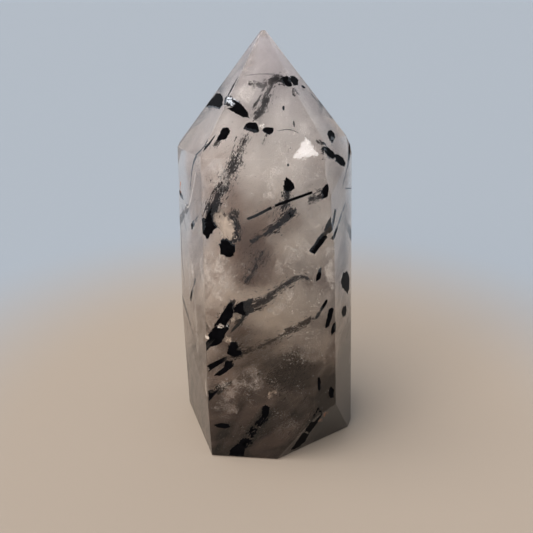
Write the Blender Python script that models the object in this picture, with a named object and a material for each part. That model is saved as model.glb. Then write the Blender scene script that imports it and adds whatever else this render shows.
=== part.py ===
"""A polished point of tourmalinated quartz: one faceted clear stone with black crystals in it.

The values below are in millimetres, and MM turns them into metres. +Z is up, the stone stands on
its flat base at Z = 0 with the origin in the middle of its outline, and its broad front facet
looks towards -Y.
"""
from collections import namedtuple
import math

import bmesh
import bpy
from mathutils import Matrix, Vector

MM = 0.001

# The rough block that the stone is ground from, standing on the level of its base
BLOCK_SIDE = 44.0
BLOCK_HEIGHT = 84.0

# The stone: the crown facets meet at the tip, which is ground off at the stone's height
STONE_HEIGHT = 70.0
TIP = Vector((-0.9, 0.8, 70.45))

# A facet faces a direction, in degrees from +X, and leans back from upright by some degrees.
# Its reach is its distance from the origin, square to itself.
Facet = namedtuple("Facet", "facing lean reach")

FRONT = Facet(facing=-95.0, lean=1.0, reach=11.4)
LEFT = Facet(facing=-159.3, lean=1.7, reach=14.3)
LEFT_FOOT = Facet(facing=-159.5, lean=-1.2, reach=13.15)
LEFT_CORNER = Facet(facing=-158.0, lean=1.0, reach=13.7)
RIGHT = Facet(facing=-21.0, lean=3.1, reach=15.0)
RIGHT_FOOT = Facet(facing=-57.0, lean=-22.0, reach=9.75)
RIGHT_CORNER = Facet(facing=-25.0, lean=17.2, reach=26.6)
BACK_RIGHT = Facet(facing=31.0, lean=2.0, reach=13.3)
BACK = Facet(facing=88.0, lean=1.5, reach=11.8)
BACK_LEFT = Facet(facing=152.0, lean=1.5, reach=16.4)
SMALL_CROWN = Facet(facing=-80.4, lean=31.4, reach=37.25)

# The lower part of the front's right edge is ground to a flat bevel, which a small slope ends at
# its top. What lies outside both is gone.
RIGHT_BEVEL = Facet(facing=-70.0, lean=1.8, reach=14.09)
BEVEL_TOP = Facet(facing=-68.0, lean=-15.0, reach=2.2)

GROUND_FACETS = (
    FRONT,
    LEFT,
    LEFT_FOOT,
    LEFT_CORNER,
    RIGHT,
    RIGHT_FOOT,
    RIGHT_CORNER,
    BACK_RIGHT,
    BACK,
    BACK_LEFT,
    SMALL_CROWN,
)

# The crown facets through the tip, each with its facing and its lean
CROWN_DIRECTIONS = (
    (-95.0, 33.2),
    (-163.2, 34.5),
    (-22.0, 37.9),
    (36.8, 32.3),
    (90.0, 26.1),
    (125.0, 31.4),
)

# The crystals: three-sided prisms with flattened corners, each in a channel a little wider than
# itself. A crystal's flat sides stand SIDE_SHARE of its width away from its line.
GAP = 0.3
OVERSHOOT = 3.0
INNER_TAPER = 0.82
SIDE_SHARE = 0.42
CORNER_FLAT = 0.3
ROLL_STEP = 47.0

# A crystal runs from the surface to a place inside. One that crosses a corner comes out again.
Crystal = namedtuple("Crystal", "name surface inner width comes_out", defaults=(False,))

CRYSTALS = (
    # The front of the crown
    Crystal("shoulder_left", (-3.1, -6.7, 58.8), (-9.7, 3.7, 59.3), 1.3, comes_out=True),
    Crystal("brow_left", (-2.6, -7.6, 57.4), (-9.2, -9.9, 42.6), 1.1, comes_out=True),
    Crystal("brow_middle", (0.0, -8.1, 57.1), (-1.0, -6.3, 53.3), 1.0),
    Crystal("temple_left", (-6.1, -7.7, 56.8), (-8.0, -6.0, 53.7), 1.1),
    Crystal("temple_right", (3.5, -3.3, 63.2), (-0.9, 0.4, 61.6), 1.5),
    Crystal("cheek_right", (9.1, -4.8, 55.8), (7.2, -3.3, 52.6), 1.1),
    Crystal("shoulder_right", (10.9, -4.8, 51.6), (7.1, -7.3, 54.7), 1.0),
    Crystal("edge_right", (12.8, 0.0, 52.6), (10.4, -3.4, 48.0), 0.7),
    # The front facet and the narrow ones beside it, from the top down
    Crystal("teardrop", (2.7, -10.8, 49.9), (2.6, -5.8, 45.7), 1.6),
    Crystal("chest_streak", (3.7, -10.8, 45.7), (-2.2, -6.5, 40.1), 1.4),
    Crystal("thin", (5.0, -11.0, 48.3), (-3.1, -9.4, 44.3), 0.5),
    Crystal("neck_right", (8.3, -11.3, 49.1), (6.0, -7.6, 47.0), 1.1),
    Crystal("block_left", (-6.2, -10.2, 39.5), (-4.8, -4.2, 44.0), 2.0),
    Crystal("rust", (7.2, -11.2, 40.2), (9.8, -9.6, 44.6), 1.1, comes_out=True),
    Crystal("rust_twin", (9.9, -10.3, 41.4), (11.3, -2.3, 44.3), 0.8),
    Crystal("hip_right", (13.0, -3.5, 30.4), (9.0, -2.4, 32.8), 1.6),
    Crystal("chip_right", (7.5, -11.1, 35.2), (7.7, -7.6, 36.3), 0.9),
    Crystal("great_left", (-10.0, -10.2, 22.4), (-5.2, -6.4, 29.3), 1.9),
    Crystal("long_upper", (-4.6, -10.5, 29.7), (6.4, -5.0, 34.0), 1.3),
    Crystal("short_mid", (-6.1, -10.5, 25.0), (-4.0, -7.6, 26.8), 0.8),
    Crystal("long_lower", (-9.9, -10.2, 18.5), (6.9, -7.6, 27.2), 1.0),
    Crystal("bar_lower", (-8.7, -10.4, 17.1), (-5.4, -7.6, 19.6), 1.0),
    Crystal("blob_mid", (-5.9, -10.5, 22.8), (-4.4, -6.7, 23.0), 1.2),
    Crystal("side_right_long", (9.0, -10.8, 30.8), (7.2, -10.2, 27.6), 0.6),
    Crystal("side_right_upper", (10.1, -10.4, 28.4), (9.4, -8.4, 25.2), 0.8),
    Crystal("side_right_middle", (11.1, -9.2, 25.0), (10.0, -7.4, 22.4), 0.8),
    Crystal("side_right_outer", (13.0, -4.3, 25.5), (10.6, -2.6, 22.3), 0.8),
    Crystal("side_left", (-13.4, -2.1, 27.4), (-10.4, -4.1, 33.0), 0.7),
    Crystal("side_left_spot", (-12.3, -4.2, 41.0), (-8.9, -4.5, 43.3), 0.9),
    Crystal("corner_left_spot", (-15.0, 2.8, 44.4), (-11.6, 2.1, 42.7), 0.8),
    # The foot of the front
    Crystal("wedge_left", (-10.0, -10.3, 12.8), (-6.2, -6.6, 14.0), 1.5),
    Crystal("bar_low_left", (-8.3, -10.6, 6.5), (-5.7, -6.8, 5.5), 1.1),
    Crystal("low_oval", (-0.7, -11.2, 10.1), (-2.3, -8.6, 6.2), 1.6),
    Crystal("low_corner", (-6.1, -10.9, 1.7), (-2.8, -5.0, 4.0), 1.6),
    Crystal("low_right", (8.8, -11.4, 10.6), (3.5, -9.2, 1.3), 1.1),
    Crystal("foot_right", (8.1, -11.5, 16.0), (8.4, -8.6, 12.1), 0.8),
    Crystal("foot_right_outer", (10.7, -10.7, 13.7), (9.5, -7.8, 14.7), 0.9),
    # The back
    Crystal("back_upper", (4.5, 11.2, 47.0), (0.0, 6.0, 41.0), 1.6),
    Crystal("back_middle", (-3.0, 11.2, 33.0), (2.5, 6.5, 27.0), 1.3),
    Crystal("back_lower", (5.0, 11.4, 20.0), (-1.0, 7.0, 14.0), 1.8),
    Crystal("back_foot", (-6.0, 11.8, 10.0), (-2.0, 7.5, 15.0), 1.2),
    Crystal("back_left_upper", (-11.8, 8.6, 38.0), (-8.0, 3.5, 43.0), 1.4),
    Crystal("back_left_lower", (-12.4, 8.7, 22.0), (-8.5, 5.0, 17.0), 1.1),
    Crystal("back_right_upper", (10.6, 5.6, 36.0), (5.5, 2.5, 42.0), 1.5),
    Crystal("back_right_lower", (11.6, 5.0, 18.0), (7.0, 2.0, 24.0), 1.2),
    Crystal("crown_back", (-2.0, 7.4, 56.5), (-2.5, 4.5, 51.0), 1.3),
    Crystal("crown_back_right", (5.8, 4.9, 57.0), (3.0, 3.0, 52.0), 1.1),
)

# The materials
QUARTZ_COLOUR = (0.66, 0.62, 0.60)
QUARTZ_ROUGHNESS = 0.05
QUARTZ_TRANSMISSION = 0.6
TOURMALINE_COLOUR = (0.012, 0.012, 0.014)
TOURMALINE_ROUGHNESS = 0.3


def clear_scene():
    for item in list(bpy.data.objects):
        bpy.data.objects.remove(item, do_unlink=True)


def plain_material(name, colour, roughness, transmission=0.0):
    material = bpy.data.materials.new(name)
    material.use_nodes = True
    surface = material.node_tree.nodes["Principled BSDF"]
    surface.inputs["Base Color"].default_value = (*colour, 1.0)
    surface.inputs["Roughness"].default_value = roughness
    surface.inputs["Metallic"].default_value = 0.0
    surface.inputs["Transmission Weight"].default_value = transmission
    material.diffuse_color = (*colour, 1.0)
    return material


def new_collection(name, parent):
    collection = bpy.data.collections.new(name)
    parent.children.link(collection)
    return collection


def mesh_object(name, shape, collection, material=None):
    """Turns a finished bmesh into a named object, from millimetres to metres."""
    bmesh.ops.scale(shape, verts=shape.verts, vec=(MM, MM, MM))
    bmesh.ops.recalc_face_normals(shape, faces=shape.faces)
    mesh = bpy.data.meshes.new(name)
    shape.to_mesh(mesh)
    shape.free()
    if material is not None:
        mesh.materials.append(material)
    item = bpy.data.objects.new(name, mesh)
    collection.objects.link(item)
    return item


def as_cutter(item):
    item.hide_render = True
    item.display_type = "WIRE"
    return item


def facet_direction(facing, lean):
    """The unit vector square to a facet, pointing out of the stone."""
    around = math.radians(facing)
    back = math.radians(lean)
    return Vector((
        math.cos(around) * math.cos(back),
        math.sin(around) * math.cos(back),
        math.sin(back),
    ))


def grind(stone, point, outward):
    """Takes away what lies outside a plane and closes the stone with a flat facet."""
    cut = bmesh.ops.bisect_plane(
        stone,
        geom=stone.verts[:] + stone.edges[:] + stone.faces[:],
        plane_co=point,
        plane_no=outward,
        clear_outer=True,
    )
    rim = [part for part in cut["geom_cut"] if isinstance(part, bmesh.types.BMEdge)]
    bmesh.ops.contextual_create(stone, geom=rim)


def rough_block():
    """A block larger than the stone, standing on the level of its base."""
    block = bmesh.new()
    bmesh.ops.create_cube(block, size=1.0)
    bmesh.ops.scale(block, verts=block.verts, vec=(BLOCK_SIDE, BLOCK_SIDE, BLOCK_HEIGHT))
    bmesh.ops.translate(block, verts=block.verts, vec=(0.0, 0.0, BLOCK_HEIGHT / 2))
    return block


def ground_stone():
    """A rough block ground on its sides, then on its crown, then across its tip."""
    stone = rough_block()
    for facet in GROUND_FACETS:
        outward = facet_direction(facet.facing, facet.lean)
        grind(stone, outward * facet.reach, outward)
    for facing, lean in CROWN_DIRECTIONS:
        grind(stone, TIP, facet_direction(facing, lean))
    grind(stone, Vector((0.0, 0.0, STONE_HEIGHT)), Vector((0.0, 0.0, 1.0)))
    return stone


def bevel_cut():
    """The wedge ground off the lower part of the front's right edge."""
    wedge = rough_block()
    for facet in (RIGHT_BEVEL, BEVEL_TOP):
        outward = facet_direction(facet.facing, facet.lean)
        grind(wedge, outward * facet.reach, -outward)
    return wedge


def crystal_prism(crystal, roll, margin=0.0):
    """The prism of one crystal along its line, rolled about it by some degrees.

    A margin makes it larger all round, for the channel that holds the crystal.
    """
    start = Vector(crystal.surface)
    end = Vector(crystal.inner)
    along = (end - start).normalized()
    start -= along * OVERSHOOT
    end += along * (OVERSHOOT if crystal.comes_out else margin)
    # A triangle's corners stand twice as far out as its sides
    corner_distance = 2.0 * (crystal.width * SIDE_SHARE + margin)
    prism = bmesh.new()
    bmesh.ops.create_cone(
        prism,
        cap_ends=True,
        segments=3,
        radius1=corner_distance,
        radius2=corner_distance * (1.0 if crystal.comes_out else INNER_TAPER),
        depth=(end - start).length,
    )
    # The cone is centred on its middle, so only the long edges cross the level of zero
    long_edges = [edge for edge in prism.edges if edge.verts[0].co.z * edge.verts[1].co.z < 0.0]
    bmesh.ops.bevel(
        prism,
        geom=long_edges,
        offset=CORNER_FLAT * corner_distance,
        offset_type="OFFSET",
        segments=1,
        affect="EDGES",
    )
    turn = along.to_track_quat("Z", "Y").to_matrix() @ Matrix.Rotation(math.radians(roll), 3, "Z")
    bmesh.ops.rotate(prism, verts=prism.verts, cent=(0.0, 0.0, 0.0), matrix=turn)
    bmesh.ops.translate(prism, verts=prism.verts, vec=(start + end) / 2)
    return prism


def add_boolean(item, name, operation, cutter):
    boolean = item.modifiers.new(name, "BOOLEAN")
    boolean.operation = operation
    if isinstance(cutter, bpy.types.Collection):
        boolean.operand_type = "COLLECTION"
        boolean.collection = cutter
    else:
        boolean.object = cutter


def main():
    clear_scene()
    parts = new_collection("tourmalinated_quartz", bpy.context.scene.collection)
    cutters = new_collection("cutters", bpy.context.scene.collection)
    channels = new_collection("channels", cutters)
    clear_quartz = plain_material(
        "clear_quartz", QUARTZ_COLOUR, QUARTZ_ROUGHNESS, QUARTZ_TRANSMISSION
    )
    black_tourmaline = plain_material(
        "black_tourmaline", TOURMALINE_COLOUR, TOURMALINE_ROUGHNESS
    )

    bevel_wedge = as_cutter(mesh_object("bevel_wedge", bevel_cut(), cutters))
    stone_shape = as_cutter(mesh_object("stone_shape", ground_stone(), cutters))
    quartz = mesh_object("quartz", ground_stone(), parts, clear_quartz)
    for stone in (stone_shape, quartz):
        add_boolean(stone, "bevel", "DIFFERENCE", bevel_wedge)
    add_boolean(quartz, "channels", "DIFFERENCE", channels)

    for number, crystal in enumerate(CRYSTALS):
        roll = number * ROLL_STEP
        prism = crystal_prism(crystal, roll)
        needle = mesh_object("tourmaline_" + crystal.name, prism, parts, black_tourmaline)
        add_boolean(needle, "polished_flush", "INTERSECT", stone_shape)
        channel = crystal_prism(crystal, roll, margin=GAP)
        as_cutter(mesh_object("channel_" + crystal.name, channel, channels))


main()
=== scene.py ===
"""The looks of a polished point of tourmalinated quartz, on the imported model's frame.

Places and sizes of the stone and its crystals are in millimetres, in the frame of the model.
"""
import math
import random
from bisect import bisect_left, bisect_right
from collections import namedtuple

import bmesh
import bpy
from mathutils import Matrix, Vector, noise


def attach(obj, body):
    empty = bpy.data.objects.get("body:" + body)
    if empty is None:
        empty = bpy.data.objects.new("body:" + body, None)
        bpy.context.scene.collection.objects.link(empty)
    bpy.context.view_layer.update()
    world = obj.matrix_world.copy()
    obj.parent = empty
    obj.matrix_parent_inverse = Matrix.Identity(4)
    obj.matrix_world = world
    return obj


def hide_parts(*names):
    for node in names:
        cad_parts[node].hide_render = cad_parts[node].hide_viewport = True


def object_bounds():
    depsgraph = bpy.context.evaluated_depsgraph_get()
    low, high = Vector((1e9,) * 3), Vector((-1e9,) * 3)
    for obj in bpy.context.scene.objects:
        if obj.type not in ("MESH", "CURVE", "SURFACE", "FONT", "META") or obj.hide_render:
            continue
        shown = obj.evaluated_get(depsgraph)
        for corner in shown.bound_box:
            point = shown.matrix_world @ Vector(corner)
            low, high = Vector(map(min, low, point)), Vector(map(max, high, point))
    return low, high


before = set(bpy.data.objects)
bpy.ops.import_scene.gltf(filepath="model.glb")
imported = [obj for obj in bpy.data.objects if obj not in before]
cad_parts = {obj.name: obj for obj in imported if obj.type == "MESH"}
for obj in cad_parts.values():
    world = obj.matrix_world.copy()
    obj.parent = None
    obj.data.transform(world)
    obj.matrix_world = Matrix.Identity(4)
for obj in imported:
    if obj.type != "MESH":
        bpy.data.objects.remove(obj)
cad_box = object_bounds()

MM = 0.001
UP = Vector((0.0, 0.0, 1.0))

STONE_HEIGHT = 70.0
BLOCK_SIDE = 44.0
BLOCK_HEIGHT = 84.0
EDGE_WIDTH = 0.05
TIP = Vector((-0.9, 0.8, 70.45))

# Facing in degrees from +X, lean back from upright in degrees, distance from the origin
FACETS = {
    "front": (-95.0, 1.0, 11.4),
    "left": (-159.3, 1.7, 14.3),
    "left_foot": (-159.5, -1.2, 13.15),
    "left_corner": (-158.0, 1.0, 13.7),
    "right": (-21.0, 3.1, 15.0),
    "right_foot": (-57.0, -22.0, 9.75),
    "right_corner": (-25.0, 17.2, 26.6),
    "back_right": (31.0, 2.0, 13.3),
    "back": (88.0, 1.5, 11.8),
    "back_left": (152.0, 1.5, 16.4),
    "small_crown": (-80.4, 31.4, 37.25),
}
# The crown's other facets run through the tip
CROWN_FACETS = {
    "crown_front": (-95.0, 33.2),
    "crown_left": (-163.2, 34.5),
    "crown_right": (-22.0, 37.9),
    "crown_back_right": (36.8, 32.3),
    "crown_back": (90.0, 26.1),
    "crown_back_left": (125.0, 31.4),
}
# What lies outside both of these is cut away
BEVEL_FACETS = {"bevel": (-70.0, 1.8, 14.09), "bevel_top": (-68.0, -15.0, 2.2)}

# How far the crystals' ground ends stand over the stone's surface, and how far a point near the
# base stays inside it
FLUSH = 0.02
BASE_MARGIN = -0.05


def facing_direction(facing, lean):
    around, back = math.radians(facing), math.radians(lean)
    return Vector((math.cos(around) * math.cos(back), math.sin(around) * math.cos(back), math.sin(back)))


PLANES = {}
for facet_name, (facing, lean, reach) in {**FACETS, **BEVEL_FACETS}.items():
    PLANES[facet_name] = (facing_direction(facing, lean), reach)
for facet_name, (facing, lean) in CROWN_FACETS.items():
    outward = facing_direction(facing, lean)
    PLANES[facet_name] = (outward, outward.dot(TIP))
PLANES["tip"] = (UP, STONE_HEIGHT)
PLANES["base"] = (Vector((0.0, 0.0, -1.0)), 0.0)
CONVEX = [plane for name, plane in PLANES.items() if name not in BEVEL_FACETS]
BEVELS = [PLANES[name] for name in BEVEL_FACETS]


def height_above(point, plane):
    return plane[0].dot(point) - plane[1]


def outside_by(point):
    """How far a point is outside the stone's surface; negative inside."""
    worst = max(height_above(point, plane) for plane in CONVEX)
    return max(worst, min(height_above(point, plane) for plane in BEVELS))


def boxed(point, unit):
    """The point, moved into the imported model's box; the unit of its places is in metres."""
    low, high = cad_box
    return Vector([min(max(point[i], low[i] / unit), high[i] / unit) for i in range(3)])


def pressed_in(point, margin):
    """The point, moved onto or under the surface where it stands more than margin outside."""
    moved = point.copy()
    for _ in range(3):
        for plane in CONVEX:
            allowed = min(margin, BASE_MARGIN) if plane is PLANES["base"] else margin
            excess = height_above(moved, plane) - allowed
            if excess > 0.0:
                moved -= plane[0] * excess
        over = [(height_above(moved, plane) - margin, plane[0]) for plane in BEVELS]
        if all(excess > 0.0 for excess, _ in over):
            excess, outward = min(over, key=lambda entry: entry[0])
            moved -= outward * excess
    return boxed(moved, MM)


def grind(stone, point, outward):
    cut = bmesh.ops.bisect_plane(
        stone,
        geom=stone.verts[:] + stone.edges[:] + stone.faces[:],
        plane_co=point,
        plane_no=outward,
        clear_outer=True,
    )
    rim = [part for part in cut["geom_cut"] if isinstance(part, bmesh.types.BMEdge)]
    bmesh.ops.contextual_create(stone, geom=rim)


def rough_block():
    block = bmesh.new()
    bmesh.ops.create_cube(block, size=1.0)
    bmesh.ops.scale(block, verts=block.verts, vec=(BLOCK_SIDE, BLOCK_SIDE, BLOCK_HEIGHT))
    bmesh.ops.translate(block, verts=block.verts, vec=(0.0, 0.0, BLOCK_HEIGHT / 2))
    return block


def new_object(name, shape):
    """Turns a bmesh in millimetres into an object in metres."""
    bmesh.ops.scale(shape, verts=shape.verts, vec=(MM, MM, MM))
    bmesh.ops.recalc_face_normals(shape, faces=shape.faces)
    mesh = bpy.data.meshes.new(name)
    shape.to_mesh(mesh)
    shape.free()
    item = bpy.data.objects.new(name, mesh)
    bpy.context.scene.collection.objects.link(item)
    return item


def stone_object(name):
    stone = rough_block()
    for facet in FACETS:
        outward, reach = PLANES[facet]
        grind(stone, outward * reach, outward)
    for facet in CROWN_FACETS:
        grind(stone, TIP, PLANES[facet][0])
    grind(stone, UP * STONE_HEIGHT, UP)
    item = new_object(name, stone)
    wedge = rough_block()
    for outward, reach in BEVELS:
        grind(wedge, outward * reach, -outward)
    cutter = new_object(name + "_wedge", wedge)
    cut = item.modifiers.new("bevel_cut", "BOOLEAN")
    cut.operation = "DIFFERENCE"
    cut.object = cutter
    soften = item.modifiers.new("soft_edges", "BEVEL")
    soften.width = EDGE_WIDTH * MM
    soften.segments = 2
    soften.limit_method = "ANGLE"
    soften.angle_limit = math.radians(12.0)
    bpy.context.view_layer.update()
    finished = bpy.data.meshes.new_from_object(item.evaluated_get(bpy.context.evaluated_depsgraph_get()))
    item.modifiers.clear()
    item.data = finished
    finished.name = name
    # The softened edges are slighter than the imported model's, and stay inside its box
    for corner in finished.vertices:
        corner.co = boxed(corner.co, 1.0)
    bpy.data.objects.remove(cutter, do_unlink=True)
    return item


# Materials
def node_material(name):
    material = bpy.data.materials.new(name)
    material.use_nodes = True
    return material, material.node_tree, material.node_tree.nodes["Principled BSDF"]


def set_inputs(tree, node, inputs):
    """Gives a node's inputs their values, or links them to other nodes' outputs."""
    for key, value in dict(inputs).items():
        if isinstance(value, bpy.types.NodeSocket):
            tree.links.new(value, node.inputs[key])
        else:
            node.inputs[key].default_value = value


def add_node(tree, kind, inputs=(), **settings):
    node = tree.nodes.new(kind)
    for key, value in settings.items():
        setattr(node, key, value)
    set_inputs(tree, node, inputs)
    return node


def object_place(tree):
    return tree.nodes.new("ShaderNodeTexCoord").outputs["Object"]


def height_of(tree, vector):
    return add_node(tree, "ShaderNodeSeparateXYZ", {0: vector}).outputs["Z"]


def calculated(tree, operation, *values):
    return add_node(tree, "ShaderNodeMath", enumerate(values), operation=operation).outputs[0]


def vector_calculated(tree, operation, *values):
    node = add_node(tree, "ShaderNodeVectorMath", enumerate(values), operation=operation)
    return node.outputs["Value" if operation == "LENGTH" else "Vector"]


def mapped(tree, value, first, last, low, high, **settings):
    """The value, carried from the range first to last over to low to high."""
    return add_node(
        tree, "ShaderNodeMapRange",
        {"Value": value, "From Min": first, "From Max": last, "To Min": low, "To Max": high}, **settings,
    ).outputs[0]


def noise_texture(tree, place, scale, detail, roughness=0.5, distortion=0.0, output="Fac"):
    return add_node(tree, "ShaderNodeTexNoise", {
        "Vector": place, "Scale": scale, "Detail": detail, "Roughness": roughness, "Distortion": distortion,
    }).outputs[output]


def colour_ramp(tree, share, stops):
    ramp = add_node(tree, "ShaderNodeValToRGB", {0: share})
    elements = ramp.color_ramp.elements
    elements[0].position, elements[0].color = stops[0][0], (*stops[0][1], 1.0)
    elements[1].position, elements[1].color = stops[-1][0], (*stops[-1][1], 1.0)
    for place, colour in stops[1:-1]:
        elements.new(place).color = (*colour, 1.0)
    return ramp.outputs[0]


def mixed(tree, share, first, second):
    """The first colour, turning into the second as the share goes from 0 to 1."""
    return add_node(tree, "ShaderNodeMix", {0: share, 6: first, 7: second}, data_type="RGBA").outputs[2]


def soft_blob(tree, place, centre, radii, strength):
    """A soft cloud: its strength in the middle, nothing beyond its radii."""
    offset = vector_calculated(tree, "SUBTRACT", place, [value * MM for value in centre])
    scaled = vector_calculated(tree, "DIVIDE", offset, [value * MM for value in radii])
    reach = vector_calculated(tree, "LENGTH", scaled)
    return mapped(tree, reach, 0.3, 1.1, strength, 0.0, interpolation_type="SMOOTHSTEP")


# Broad clouds inside the stone: middle, radii and how much paler (or smokier) they are
CLOUDS = (
    ((0.5, -6.0, 51.5), (9.0, 7.0, 6.5), 1.1),
    ((1.5, -4.5, 58.5), (7.0, 5.0, 5.0), 1.2),
    ((-7.0, -2.0, 56.0), (4.0, 5.0, 6.0), 0.7),
    ((7.0, -2.0, 60.0), (4.0, 5.0, 5.0), -0.7),
    ((-7.0, -7.0, 41.5), (3.4, 5.0, 4.0), 0.9),
    ((6.5, -6.0, 41.0), (7.0, 7.0, 8.0), 1.2),
    ((1.0, -5.0, 28.5), (10.0, 7.0, 5.0), 1.2),
    ((-8.0, -6.0, 32.0), (4.0, 5.0, 4.5), 0.5),
    ((0.5, -6.0, 13.5), (3.6, 5.0, 4.0), 0.9),
    ((-7.0, -6.0, 12.0), (4.5, 5.0, 4.5), 0.7),
    ((-6.3, -6.0, 49.0), (3.2, 5.0, 7.5), -1.3),
    ((-3.0, -6.5, 37.5), (4.6, 5.0, 7.0), -1.5),
    ((-3.0, -5.0, 22.5), (10.0, 6.0, 3.0), -0.3),
    ((4.0, -7.0, 16.5), (6.5, 6.0, 4.6), -1.2),
    ((2.5, -6.5, 43.5), (4.5, 5.0, 3.4), -0.7),
    ((-2.0, -5.0, 4.0), (12.0, 8.0, 5.0), -0.1),
    ((4.6, -9.0, 23.0), (6.0, 6.0, 4.4), 2.4),
    ((4.6, -9.0, 31.0), (5.0, 6.0, 4.0), 0.8),
    # Painted shade: a smoky cloud at the right foot, on the side turned away from the lamps
    ((13.5, -5.0, 9.0), (9.0, 10.0, 16.0), -1.5),
    ((-13.5, -2.5, 24.0), (4.0, 7.0, 17.0), -1.4),
    ((-12.0, -2.0, 47.0), (3.4, 5.0, 6.0), -1.2),
    ((0.0, 0.0, 68.0), (7.0, 7.0, 9.0), -0.9),
)
# Colours by height, from 0 at the base to 1 at the tip. They darken towards the base: partly the stone's smoky
# foot, partly painted shade where less light reaches the bottom
SURFACE_TINT_AND_SHADE = (
    (0.0, (0.56, 0.48, 0.44)),
    (0.2, (0.66, 0.58, 0.53)),
    (0.36, (0.86, 0.79, 0.73)),
    (0.6, (0.95, 0.90, 0.86)),
    (0.8, (0.96, 0.93, 0.92)),
    (1.0, (0.97, 0.95, 0.96)),
)
PALE_AND_SHADE = (
    (0.0, (0.36, 0.28, 0.25)),
    (0.12, (0.50, 0.41, 0.37)),
    (0.24, (0.84, 0.74, 0.66)),
    (0.36, (0.98, 0.93, 0.87)),
    (0.62, (0.995, 0.960, 0.920)),
    (0.8, (0.996, 0.978, 0.962)),
    (1.0, (0.99, 0.976, 0.98)),
)
SMOKY_AND_SHADE = (
    (0.0, (0.018, 0.013, 0.011)),
    (0.12, (0.028, 0.021, 0.018)),
    (0.24, (0.11, 0.082, 0.068)),
    (0.36, (0.38, 0.285, 0.235)),
    (0.62, (0.56, 0.45, 0.38)),
    (0.8, (0.74, 0.68, 0.66)),
    (1.0, (0.80, 0.78, 0.80)),
)
BASE_TINT = (0.10, 0.08, 0.07, 1.0)
QUARTZ_IOR = 1.544
SWAY = 0.0035
THIN_MILK, THICK_MILK = 150.0, 700.0
# The half width and half depth of the stone, which the cloudy middle follows
HALF_WIDTH, HALF_DEPTH = 15.2, 11.7


def quartz_surface(tree, glass, place, share):
    # The tint darkens towards the base: partly the stone's smoky foot, partly painted shade
    tint = colour_ramp(tree, share, SURFACE_TINT_AND_SHADE)
    # Little light comes through the base, which stands on the floor
    normal = tree.nodes.new("ShaderNodeNewGeometry").outputs["True Normal"]
    level = calculated(tree, "GREATER_THAN", calculated(tree, "ABSOLUTE", height_of(tree, normal)), 0.9)
    at_base = calculated(tree, "MULTIPLY", level, calculated(tree, "LESS_THAN", share, 0.5))
    tint = mixed(tree, at_base, tint, BASE_TINT)
    scratches = noise_texture(tree, place, 900.0, 2.0)
    bump = add_node(tree, "ShaderNodeBump", {"Strength": 0.012, "Distance": 0.0002, "Height": scratches})
    set_inputs(tree, glass, {
        "Transmission Weight": 1.0, "IOR": QUARTZ_IOR, "Roughness": 0.02,
        "Base Color": tint, "Normal": bump.outputs[0],
    })
    # Light for the inside passes straight through the surface, as no light could find its way
    # to the cloudy quartz through a bent one
    straight = add_node(tree, "ShaderNodeBsdfTransparent", {"Color": tint})
    ray = tree.nodes.new("ShaderNodeLightPath")
    return add_node(tree, "ShaderNodeMixShader", {
        0: ray.outputs["Is Shadow Ray"], 1: glass.outputs[0], 2: straight.outputs[0],
    }).outputs[0]


def quartz_inside(tree, place, height, share):
    """The cloudy inside: pale veils and smoky zones, darker and browner towards the base, partly the stone's smoky
    foot and partly painted shade.
    """
    swirl = noise_texture(tree, place, 190.0, 3.0, 0.6, output="Color")
    sway = vector_calculated(tree, "MULTIPLY_ADD", swirl, (2.0 * SWAY,) * 3, (-SWAY,) * 3)
    warped = vector_calculated(tree, "ADD", place, sway)

    # The zones are stretched along the crystals, upwards to the right
    stretched = add_node(
        tree, "ShaderNodeMapping", {"Vector": place, "Rotation": (0.0, -0.72, 0.0), "Scale": (2.2, 1.0, 0.9)},
        vector_type="TEXTURE",
    )
    zones = noise_texture(tree, stretched.outputs["Vector"], 330.0, 5.0, 0.62, 0.9)
    paleness = mapped(tree, zones, 0.40, 0.60, -0.05, 1.0, clamp=False)
    for cloud in CLOUDS:
        paleness = calculated(tree, "ADD", paleness, soft_blob(tree, warped, *cloud))
    colour = mixed(tree, paleness, colour_ramp(tree, share, SMOKY_AND_SHADE), colour_ramp(tree, share, PALE_AND_SHADE))

    # Clear near the facets, cloudy in the middle and at the foot; the thick, dark foot is partly the stone's smoky
    # foot and partly painted shade
    flattened = vector_calculated(
        tree, "MULTIPLY", warped, (1.0 / (HALF_WIDTH * MM), 1.0 / (HALF_DEPTH * MM), 0.0),
    )
    girth = vector_calculated(tree, "LENGTH", flattened)
    reach = calculated(tree, "DIVIDE", girth, mapped(tree, height, 0.071, 0.051, 0.03, 1.0))
    core = mapped(tree, reach, 0.80, 0.42, 0.055, 1.0, interpolation_type="SMOOTHSTEP")
    foot = mapped(tree, height, 0.017, 0.003, 0.0, 1.2, interpolation_type="SMOOTHSTEP")
    # Painted shade: a thick cloud at the right foot, on the side turned away from the lamps
    right_foot = soft_blob(tree, warped, (14.5, -5.0, 8.0), (13.0, 13.0, 21.0), 1.6)
    cover = calculated(tree, "MAXIMUM", core, calculated(tree, "MAXIMUM", foot, right_foot))

    shifted = vector_calculated(tree, "ADD", place, (0.31, 0.17, 0.23))
    clumps = noise_texture(tree, shifted, 210.0, 4.0, 0.65, 0.7)
    milkiness = mapped(tree, clumps, 0.36, 0.66, THIN_MILK, THICK_MILK)
    return add_node(tree, "ShaderNodeVolumePrincipled", {
        "Anisotropy": 0.2, "Density Attribute": "", "Color": colour,
        "Density": calculated(tree, "MULTIPLY", milkiness, cover),
    }).outputs[0]


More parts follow.
